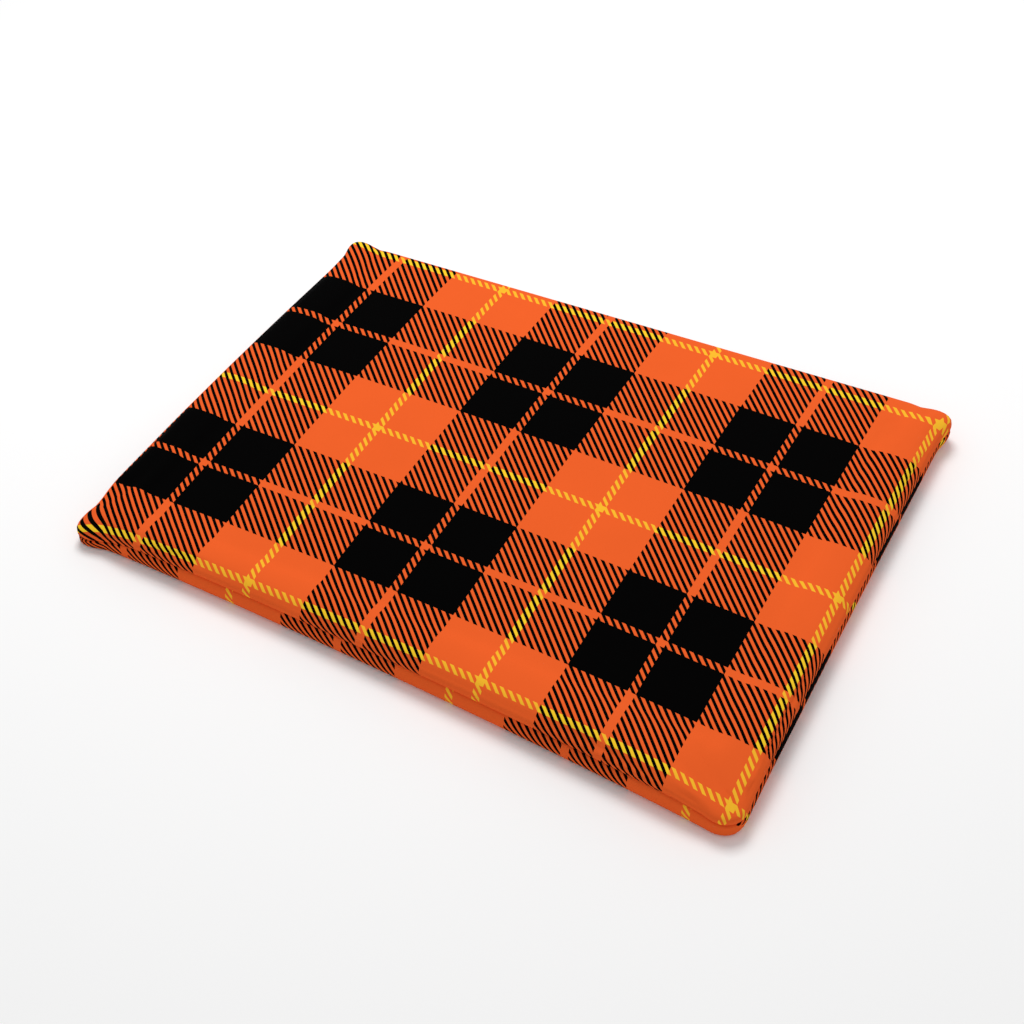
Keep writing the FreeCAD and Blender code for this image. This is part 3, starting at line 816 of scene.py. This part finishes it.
cover_print = printed_cloth("tartan_print")
for node, cut, origin, repeat, stretch, skew in (
        ("cover_top_panel", (top_points, top_flat, top_ways, top_row, top_faces, top_last, top_share),
         TOP_ORIGIN, TARTAN_REPEAT, TOP_STRETCH, TOP_SKEW),
        ("cover_bottom_panel", (low_points, low_flat, low_ways, low_row, low_faces, low_last, low_share),
         UNDER_ORIGIN, UNDER_REPEAT, UNDER_STRETCH, (0.0, 0.0))):
    is_top = node == "cover_top_panel"
    piece = finished_panel(node + "_cloth", *cut, is_top)
    lay_print(piece, origin, repeat, not is_top, stretch, skew)
    piece.data.materials.append(cover_print)
    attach(piece, "mat")
    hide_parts(node)

# ------------------------------------------------------------------------------------------
# Seam stitching: a lockstitch in orange polyester thread round the inside, through both
# allowances, a little way in from the fold, stopping at each end of the zip tapes.
# ------------------------------------------------------------------------------------------
SEAM_STITCH_INSET = 0.0012
SEAM_STITCH_PITCH = 0.0030
ORANGE_THREAD = 0.00020
orange_thread = thread_material("orange_thread", (0.80, 0.13, 0.025))
seam_rows = []
rim_order = top_rim[np.argsort(top_ray[top_rim])]
open_at = [k for k, v in enumerate(rim_order) if abs(top_points[v][0]) < ZIP_HALF
           and top_points[v][1] > 0.9 * HALF_WIDTH]
after_zip = max(open_at) + 1
sewn_rim = [rim_order[(after_zip + k) % len(rim_order)] for k in range(len(rim_order) - len(open_at))]
for way in (1, -1):
    path = [(top_points[v][0] - top_ways[v][0] * SEAM_STITCH_INSET,
             top_points[v][1] - top_ways[v][1] * SEAM_STITCH_INSET,
             top_points[v][2] + way * COVER_CLOTH) for v in sewn_rim]
    seam_rows.append((path, [(0, 0, way)] * len(path), False))
seam_stitches = sew("seam_lockstitch", seam_rows, SEAM_STITCH_PITCH, 0.0027, ORANGE_THREAD, 0.00015,
                    0.0, 0.0, 5, orange_thread)
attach(seam_stitches, "mat")
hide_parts("seam_stitching")

# ------------------------------------------------------------------------------------------
# Zip tapes: two woven black polyester tapes, sewn in behind the edges of the opening.
# Each lies against the inside of its panel, up or down the wall and on round the rolled rim.
# ------------------------------------------------------------------------------------------
TAPE_THICKNESS = 0.0006
TAPE_WIDTH = 0.0120
TAPE_RIB = 0.0009
tape_material, nodes, links, shader = new_material("zip_tape_weave", (0.012, 0.012, 0.013), 0.7)
shader.inputs["Sheen Weight"].default_value = 0.2
uv = weave(nodes, links, shader, 0.00050, 0.5, 0.0002)
ribs = nodes.new("ShaderNodeTexWave")
ribs.bands_direction = "Y"
ribs.inputs["Scale"].default_value = 0.314 / TAPE_RIB
links.new(uv, ribs.inputs["Vector"])
shade_between(nodes, links, shader, ribs.outputs["Fac"], (0.008, 0.008, 0.009), (0.022, 0.022, 0.024))
for node, way, inner_edge, cover_roll, roll_centre in (
        ("zip_tape_upper", 1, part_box("zip_tape_upper")[0][2], TOP_ROLL, MAT_THICKNESS - TOP_ROLL),
        ("zip_tape_lower", -1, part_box("zip_tape_lower")[1][2], UNDER_ROLL, UNDER_ROLL)):
    roll = cover_roll - COVER_CLOTH
    low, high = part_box(node)
    wall = abs(roll_centre - inner_edge)
    columns, stops = round((high[0] - low[0]) / 0.004) + 1, np.linspace(0, TAPE_WIDTH, 17)
    points, flat = [], []
    for at in stops:
        angle = max(0.0, at - wall) / roll
        y = HALF_WIDTH - COVER_CLOTH - roll * (1 - math.cos(angle))
        z = inner_edge + way * min(at, wall) + way * roll * math.sin(angle)
        for x in np.linspace(low[0], high[0], columns):
            points.append((x, y - 0.00002, z))
            flat.append((x, at))
    faces = [(k * columns + i, k * columns + i + 1, (k + 1) * columns + i + 1, (k + 1) * columns + i)
             for k in range(len(stops) - 1) for i in range(columns - 1)]
    if way > 0:
        faces = [tuple(reversed(f)) for f in faces]
    tape = mesh_object(node + "_woven", settle(points), faces, flat)
    thicken(tape, TAPE_THICKNESS)
    tape.data.materials.append(tape_material)
    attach(tape, "mat")
    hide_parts(node)

# ------------------------------------------------------------------------------------------
# Zip coils: a nylon monofilament wound into a flattened coil along each tape's inner edge.
# The turns of the two coils are staggered by half a pitch and hook past each other.
# ------------------------------------------------------------------------------------------
COIL_PITCH = 0.00127
COIL_WIRE = 0.00027
COIL_HOOK = 0.00030              # how far each coil reaches past the middle
coil_material, nodes, links, shader = new_material("nylon_coil", (0.014, 0.014, 0.015), 0.32)
where = nodes.new("ShaderNodeTexCoord")
mottle = nodes.new("ShaderNodeTexNoise")
mottle.inputs["Scale"].default_value = 900.0
links.new(where.outputs["Object"], mottle.inputs["Vector"])
shade_between(nodes, links, shader, mottle.outputs["Fac"], (0.008, 0.008, 0.009), (0.026, 0.026, 0.028))
raise_surface(nodes, links, shader, mottle.outputs["Fac"], 0.15, 0.0001)
coil_tree, given, result = tree_with("flattened_coil", [
    ("Turns", INTEGER), ("Pitch", FLOAT), ("Width", FLOAT), ("Depth", FLOAT), ("Wire radius", FLOAT),
    ("Nylon", MATERIAL)])
step = node_in(coil_tree, "ShaderNodeCombineXYZ")
line = node_in(coil_tree, "GeometryNodeMeshLine", mode="OFFSET")
turn = node_in(coil_tree, "GeometryNodeCurveSpiral")
turn.inputs["Resolution"].default_value = 10
turn.inputs["Rotations"].default_value = 1.0
turn.inputs["Start Radius"].default_value = 0.5
turn.inputs["End Radius"].default_value = 0.5
squeeze = node_in(coil_tree, "ShaderNodeCombineXYZ")
squeeze.inputs["Z"].default_value = 1.0
lay = node_in(coil_tree, "GeometryNodeTransform")
lay.inputs["Rotation"].default_value = (0, math.pi / 2, 0)
wire_round = node_in(coil_tree, "GeometryNodeCurvePrimitiveCircle", mode="RADIUS")
wire_round.inputs["Resolution"].default_value = 5
loop = node_in(coil_tree, "GeometryNodeCurveToMesh")
loop.inputs["Fill Caps"].default_value = True
smooth = node_in(coil_tree, "GeometryNodeSetShadeSmooth")
wound = node_in(coil_tree, "GeometryNodeInstanceOnPoints")
real = node_in(coil_tree, "GeometryNodeRealizeInstances")
nylon = node_in(coil_tree, "GeometryNodeSetMaterial")
wire(coil_tree,
     (given, "Pitch", step, "X"), (step, 0, line, "Offset"), (given, "Turns", line, "Count"),
     (given, "Pitch", turn, "Height"), (given, "Width", squeeze, "X"), (given, "Depth", squeeze, "Y"),
     (turn, "Curve", lay, "Geometry"), (squeeze, 0, lay, "Scale"), (lay, "Geometry", loop, "Curve"),
     (given, "Wire radius", wire_round, "Radius"), (wire_round, "Curve", loop, "Profile Curve"),
     (loop, "Mesh", smooth, "Geometry"), (smooth, "Geometry", wound, "Instance"),
     (line, "Mesh", wound, "Points"), (wound, 0, real, 0), (real, 0, nylon, "Geometry"),
     (given, "Nylon", nylon, "Material"), (nylon, "Geometry", result, "Geometry"))
for node, way, stagger in (("zip_coil_upper", 1, 0.0), ("zip_coil_lower", -1, 0.5)):
    low, high = Vector(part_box(node)[0]), Vector(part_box(node)[1])
    coil = placed(node + "_nylon", bpy.data.meshes.new(node))
    width = high.z - low.z + COIL_HOOK - 2 * COIL_WIRE
    grown(coil, coil_tree, {
        "Turns": int((high.x - low.x) / COIL_PITCH) - 1, "Pitch": COIL_PITCH, "Width": width,
        "Depth": high.y - low.y - 2 * COIL_WIRE, "Wire radius": COIL_WIRE, "Nylon": coil_material})
    coil.data.transform(Matrix.Translation((
        low.x + (0.5 + stagger) * COIL_PITCH, (low.y + high.y) / 2,
        (low.z + high.z) / 2 - way * COIL_HOOK / 2)))
    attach(coil, "mat")
    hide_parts(node)

# ------------------------------------------------------------------------------------------
# Zip stops, slider and pull: die-cast zinc, plated and tumbled, so every edge is broken.
# The stops are crimped round the tapes; the pull hangs on the slider's crown by its bar.
# ------------------------------------------------------------------------------------------
plated, nodes, links, shader = new_material("tumbled_nickel", (0.42, 0.41, 0.39), 0.34)
shader.inputs["Metallic"].default_value = 1.0
where = nodes.new("ShaderNodeTexCoord")
scuffs = nodes.new("ShaderNodeTexNoise")
scuffs.inputs["Scale"].default_value = 1400.0
scuffs.inputs["Detail"].default_value = 6.0
links.new(where.outputs["Object"], scuffs.inputs["Vector"])
dulled = nodes.new("ShaderNodeMapRange")
dulled.inputs["To Min"].default_value = 0.24
dulled.inputs["To Max"].default_value = 0.50
links.new(scuffs.outputs["Fac"], dulled.inputs["Value"])
links.new(dulled.outputs["Result"], shader.inputs["Roughness"])
shade_between(nodes, links, shader, scuffs.outputs["Fac"], (0.30, 0.29, 0.28), (0.56, 0.55, 0.53))
raise_surface(nodes, links, shader, scuffs.outputs["Fac"], 0.12, 0.0001)


def tumbled(node, body, edge):
    """A cast piece as the frame has it, with its sharp edges rounded over."""
    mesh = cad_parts[node].data.copy()
    shape = bmesh.new()
    shape.from_mesh(mesh)
    bmesh.ops.remove_doubles(shape, verts=shape.verts, dist=0.000002)
    bmesh.ops.dissolve_limit(shape, angle_limit=math.radians(1.5), verts=shape.verts, edges=shape.edges)
    shape.to_mesh(mesh)
    shape.free()
    piece = placed(node + "_cast", mesh)
    rounded = piece.modifiers.new("edges", "BEVEL")
    rounded.width = edge
    rounded.segments = 3
    rounded.limit_method = "ANGLE"
    rounded.angle_limit = math.radians(35)
    finished = applied(piece).data
    finished.materials.clear()
    finished.materials.append(plated)
    finished.polygons.foreach_set("use_smooth", [True] * len(finished.polygons))
    finished.polygons.foreach_set("material_index", [0] * len(finished.polygons))
    finished.set_sharp_from_angle(angle=math.radians(32))
    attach(piece, body)
    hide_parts(node)


for node, body, edge in (("zip_top_stop_upper", "mat", 0.00025), ("zip_top_stop_lower", "mat", 0.00025),
                         ("zip_bottom_stop", "mat", 0.00030), ("zip_slider_body", "slider", 0.00016),
                         ("zip_pull_tab", "pull", 0.00022)):
    tumbled(node, body, edge)

# ------------------------------------------------------------------------------------------
# Zip stitching: one row of orange stitches holds each tape to its panel, and a dense bar
# tack of the same thread crosses each end of the opening, where the cover takes the strain.
# ------------------------------------------------------------------------------------------
TAPE_STITCH_PITCH = 0.0032
TACK_PITCH = 0.00042
for node in ("zip_stitching_upper", "zip_stitching_lower"):
    low, high = Vector(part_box(node)[0]), Vector(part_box(node)[1])
    path = [(x, low.y + 0.00005, (low.z + high.z) / 2) for x in np.linspace(low.x, high.x, 80)]
    stitches = sew(node + "_row", [(path, [(0, 1, 0)] * len(path), False)], TAPE_STITCH_PITCH, 0.0027,
                   0.00021, 0.00012, 0.0, 0.0, 7, orange_thread)
    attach(stitches, "mat")
    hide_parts(node)
for node in ("bar_tack_left", "bar_tack_right"):
    low, high = Vector(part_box(node)[0]), Vector(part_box(node)[1])
    path = [((low.x + high.x) / 2, low.y + 0.00008, z) for z in np.linspace(low.z, high.z, 12)]
    tack = sew(node + "_zigzag", [(path, [(0, 1, 0)] * len(path), False)], TACK_PITCH, high.x - low.x,
               0.00019, 0.00010, math.radians(90), math.radians(7), 9, orange_thread)
    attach(tack, "mat")
    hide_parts(node)

# ------------------------------------------------------------------------------------------
# Floor, light and camera: a plain white sweep, a bright room and one broad light high up
# behind the mat, so that the front of it and the floor before it lie in soft shade.
# ------------------------------------------------------------------------------------------
bpy.ops.mesh.primitive_plane_add(size=12.0, location=(0, 0, -0.0004))
floor = bpy.context.object
floor.name = "floor"
floor_material, nodes, links, shader = new_material("white_floor", (0.97, 0.97, 0.97), 0.9)
shader.inputs["Specular IOR Level"].default_value = 0.0
floor.data.materials.append(floor_material)
floor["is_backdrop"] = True

world = bpy.data.worlds.new("studio")
bpy.context.scene.world = world
world.use_nodes = True
world.node_tree.nodes["Background"].inputs["Color"].default_value = (1, 1, 1, 1)
world.node_tree.nodes["Background"].inputs["Strength"].default_value = 0.55
lamp_data = bpy.data.lights.new("overhead", "AREA")
lamp_data.size = 0.9
lamp_data.energy = 27
lamp = bpy.data.objects.new("overhead", lamp_data)
lamp.location = (-0.45, 0.75, 2.0)
lamp.rotation_euler = (-Vector(lamp.location)).to_track_quat("-Z", "Y").to_euler()
bpy.context.scene.collection.objects.link(lamp)

bpy.context.scene.view_settings.view_transform = "Standard"
CAMERA_PLACE = Vector((0.4488, -0.7533, 0.8425))
CAMERA_AIM = Vector((0.0197, -0.0415, 0.020))
CAMERA_ROLL = math.radians(-3.39)
camera_data = bpy.data.cameras.new("camera")
camera_data.lens = 49.6
camera_data.sensor_width = 36.0
camera = bpy.data.objects.new("camera", camera_data)
bpy.context.scene.collection.objects.link(camera)
camera.location = CAMERA_PLACE
facing = (CAMERA_AIM - CAMERA_PLACE).to_track_quat("-Z", "Y").to_matrix()
camera.rotation_euler = (facing @ Matrix.Rotation(CAMERA_ROLL, 3, "Z")).to_euler()
bpy.context.scene.camera = camera

low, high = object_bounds()
